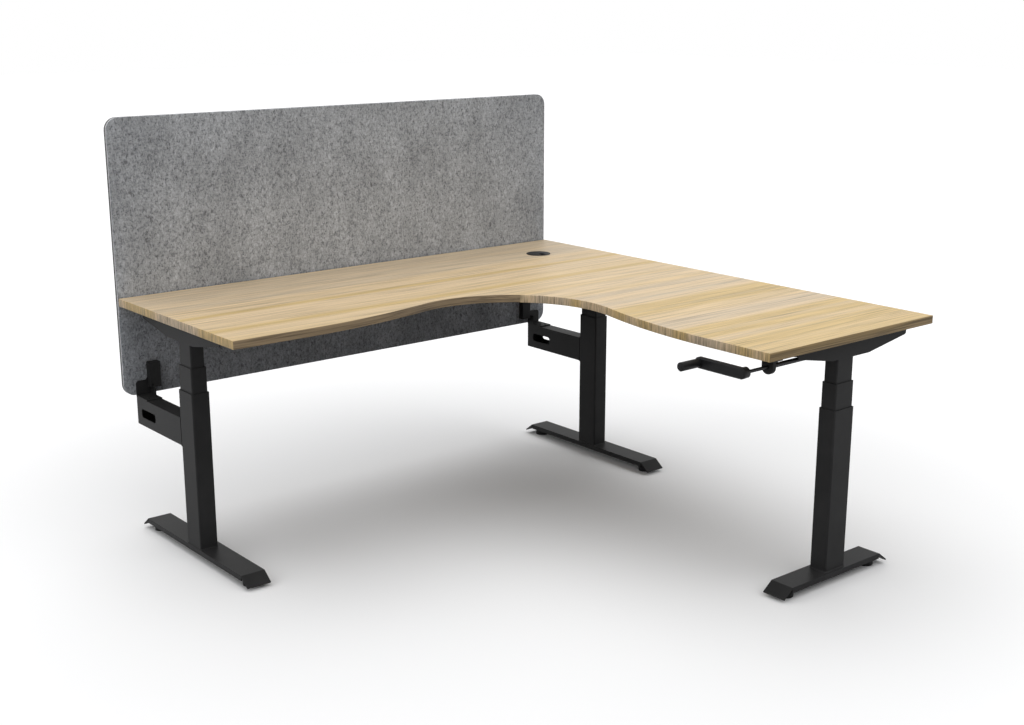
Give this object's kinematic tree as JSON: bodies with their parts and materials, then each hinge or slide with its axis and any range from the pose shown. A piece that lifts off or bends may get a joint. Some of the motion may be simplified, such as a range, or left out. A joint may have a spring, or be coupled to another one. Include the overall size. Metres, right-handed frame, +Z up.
{
  "type": "height-adjustable corner desk",
  "caption": "Corner desk with a wave-edged wood-look top on telescopic legs, raised together by a hand crank, with a felt screen on its fixed columns.",
  "frame": {"origin": "on the floor under the middle of the overall box", "axes": "+Z up; +Y towards the screen; +X towards the side with the return wing"},
  "size_m": [1.8, 1.824, 1.361],
  "materials": {
    "oak_laminate": "satin",
    "felt_light": "marled felt",
    "felt_dark": "marled felt",
    "black_plastic": "matte",
    "bare_steel": "dark oiled",
    "gear_case": "matte",
    "black_powder_coat": "powder coat"
  },
  "bodies": {
    "base": {"foot_left": "black_powder_coat", "outer_column_left": "black_powder_coat", "outer_glide_left": "black_plastic", "foot_corner": "black_powder_coat", "outer_column_corner": "black_powder_coat", "outer_glide_corner": "black_plastic", "foot_return": "black_powder_coat", "outer_column_return": "black_powder_coat", "outer_glide_return": "black_plastic", "arm_left": "black_powder_coat", "arm_corner": "black_powder_coat", "screen_clip_left": "black_powder_coat", "screen_clip_corner": "black_powder_coat", "screen_front_felt": "felt_light", "screen_back_felt": "felt_dark"},
    "top": {"worktop": "oak_laminate", "grommet_liner": "black_plastic", "inner_column_left": "black_powder_coat", "top_bracket_left": "black_powder_coat", "gear_housing_left": "gear_case", "inner_column_corner": "black_powder_coat", "top_bracket_corner": "black_powder_coat", "gear_housing_corner": "gear_case", "inner_column_return": "black_powder_coat", "top_bracket_return": "black_powder_coat", "gear_housing_return": "gear_case", "junction_housing": "gear_case", "rail_main_front": "black_powder_coat", "rail_main_back": "black_powder_coat", "rail_return_inner": "black_powder_coat", "rail_return_outer": "black_powder_coat", "crank_hanger": "black_powder_coat"},
    "middle_left": {"middle_column_left": "black_powder_coat", "middle_glide_left": "black_plastic"},
    "middle_corner": {"middle_column_corner": "black_powder_coat", "middle_glide_corner": "black_plastic"},
    "middle_return": {"middle_column_return": "black_powder_coat", "middle_glide_return": "black_plastic"},
    "crank": {"crank_arm": "black_powder_coat", "crank_shaft": "bare_steel"},
    "grip": {"crank_grip": "black_plastic"},
    "rod_left": {"sync_rod_left": "bare_steel"},
    "rod_corner": {"sync_rod_corner": "bare_steel"},
    "rod_return": {"sync_rod_return": "bare_steel"},
    "cap": {"grommet_cap": "black_plastic"},
    "leveller_left_front": {"leveller_left_front": "black_plastic"},
    "leveller_left_back": {"leveller_left_back": "black_plastic"},
    "leveller_corner_front": {"leveller_corner_front": "black_plastic"},
    "leveller_corner_back": {"leveller_corner_back": "black_plastic"},
    "leveller_return_inner": {"leveller_return_inner": "black_plastic"},
    "leveller_return_outer": {"leveller_return_outer": "black_plastic"}
  },
  "joints": [
    {"name": "top_lift", "type": "slide", "parent": "base", "child": "top", "axis": [0, 0, 1], "range_m": [-0.14, 0.46]},
    {"name": "middle_left_slide", "type": "slide", "parent": "base", "child": "middle_left", "axis": [0, 0, 1], "range_m": [-0.07, 0.23]},
    {"name": "middle_corner_slide", "type": "slide", "parent": "base", "child": "middle_corner", "axis": [0, 0, 1], "range_m": [-0.07, 0.23]},
    {"name": "middle_return_slide", "type": "slide", "parent": "base", "child": "middle_return", "axis": [0, 0, 1], "range_m": [-0.07, 0.23]},
    {"name": "crank_turn", "type": "hinge", "parent": "top", "child": "crank", "pos_m": [0.135, -0.836, 0.724], "axis": [1, 0, 0], "continuous": true},
    {"name": "grip_spin", "type": "hinge", "parent": "crank", "child": "grip", "pos_m": [0.08, -0.681, 0.724], "axis": [1, 0, 0], "continuous": true},
    {"name": "rod_left_turn", "type": "hinge", "parent": "top", "child": "rod_left", "pos_m": [-0.1, 0.538, 0.724], "axis": [1, 0, 0], "continuous": true},
    {"name": "rod_corner_turn", "type": "hinge", "parent": "top", "child": "rod_corner", "pos_m": [0.7, 0.538, 0.724], "axis": [1, 0, 0], "continuous": true},
    {"name": "rod_return_turn", "type": "hinge", "parent": "top", "child": "rod_return", "pos_m": [0.554, 0, 0.724], "axis": [0, 1, 0], "continuous": true},
    {"name": "cap_turn", "type": "hinge", "parent": "top", "child": "cap", "pos_m": [0.67, 0.658, 0.79], "axis": [0, 0, 1], "continuous": true},
    {"name": "leveller_left_front_turn", "type": "hinge", "parent": "base", "child": "leveller_left_front", "pos_m": [-0.822, 0.251, 0.018], "axis": [0, 0, 1], "continuous": true},
    {"name": "leveller_left_back_turn", "type": "hinge", "parent": "base", "child": "leveller_left_back", "pos_m": [-0.822, 0.845, 0.018], "axis": [0, 0, 1], "continuous": true},
    {"name": "leveller_corner_front_turn", "type": "hinge", "parent": "base", "child": "leveller_corner_front", "pos_m": [0.855, 0.251, 0.018], "axis": [0, 0, 1], "continuous": true},
    {"name": "leveller_corner_back_turn", "type": "hinge", "parent": "base", "child": "leveller_corner_back", "pos_m": [0.855, 0.845, 0.018], "axis": [0, 0, 1], "continuous": true},
    {"name": "leveller_return_inner_turn", "type": "hinge", "parent": "base", "child": "leveller_return_inner", "pos_m": [0.362, -0.836, 0.018], "axis": [0, 0, 1], "continuous": true},
    {"name": "leveller_return_outer_turn", "type": "hinge", "parent": "base", "child": "leveller_return_outer", "pos_m": [0.746, -0.836, 0.018], "axis": [0, 0, 1], "continuous": true}
  ],
  "couplings": [
    {"joint": "middle_left_slide", "follows": "top_lift", "ratio": 0.5},
    {"joint": "middle_corner_slide", "follows": "top_lift", "ratio": 0.5},
    {"joint": "middle_return_slide", "follows": "top_lift", "ratio": 0.5},
    {"joint": "crank_turn", "follows": "top_lift", "rad_per_m": 628.32},
    {"joint": "rod_left_turn", "follows": "top_lift", "rad_per_m": -628.32},
    {"joint": "rod_corner_turn", "follows": "top_lift", "rad_per_m": 628.32},
    {"joint": "rod_return_turn", "follows": "top_lift", "rad_per_m": 628.32}
  ]
}
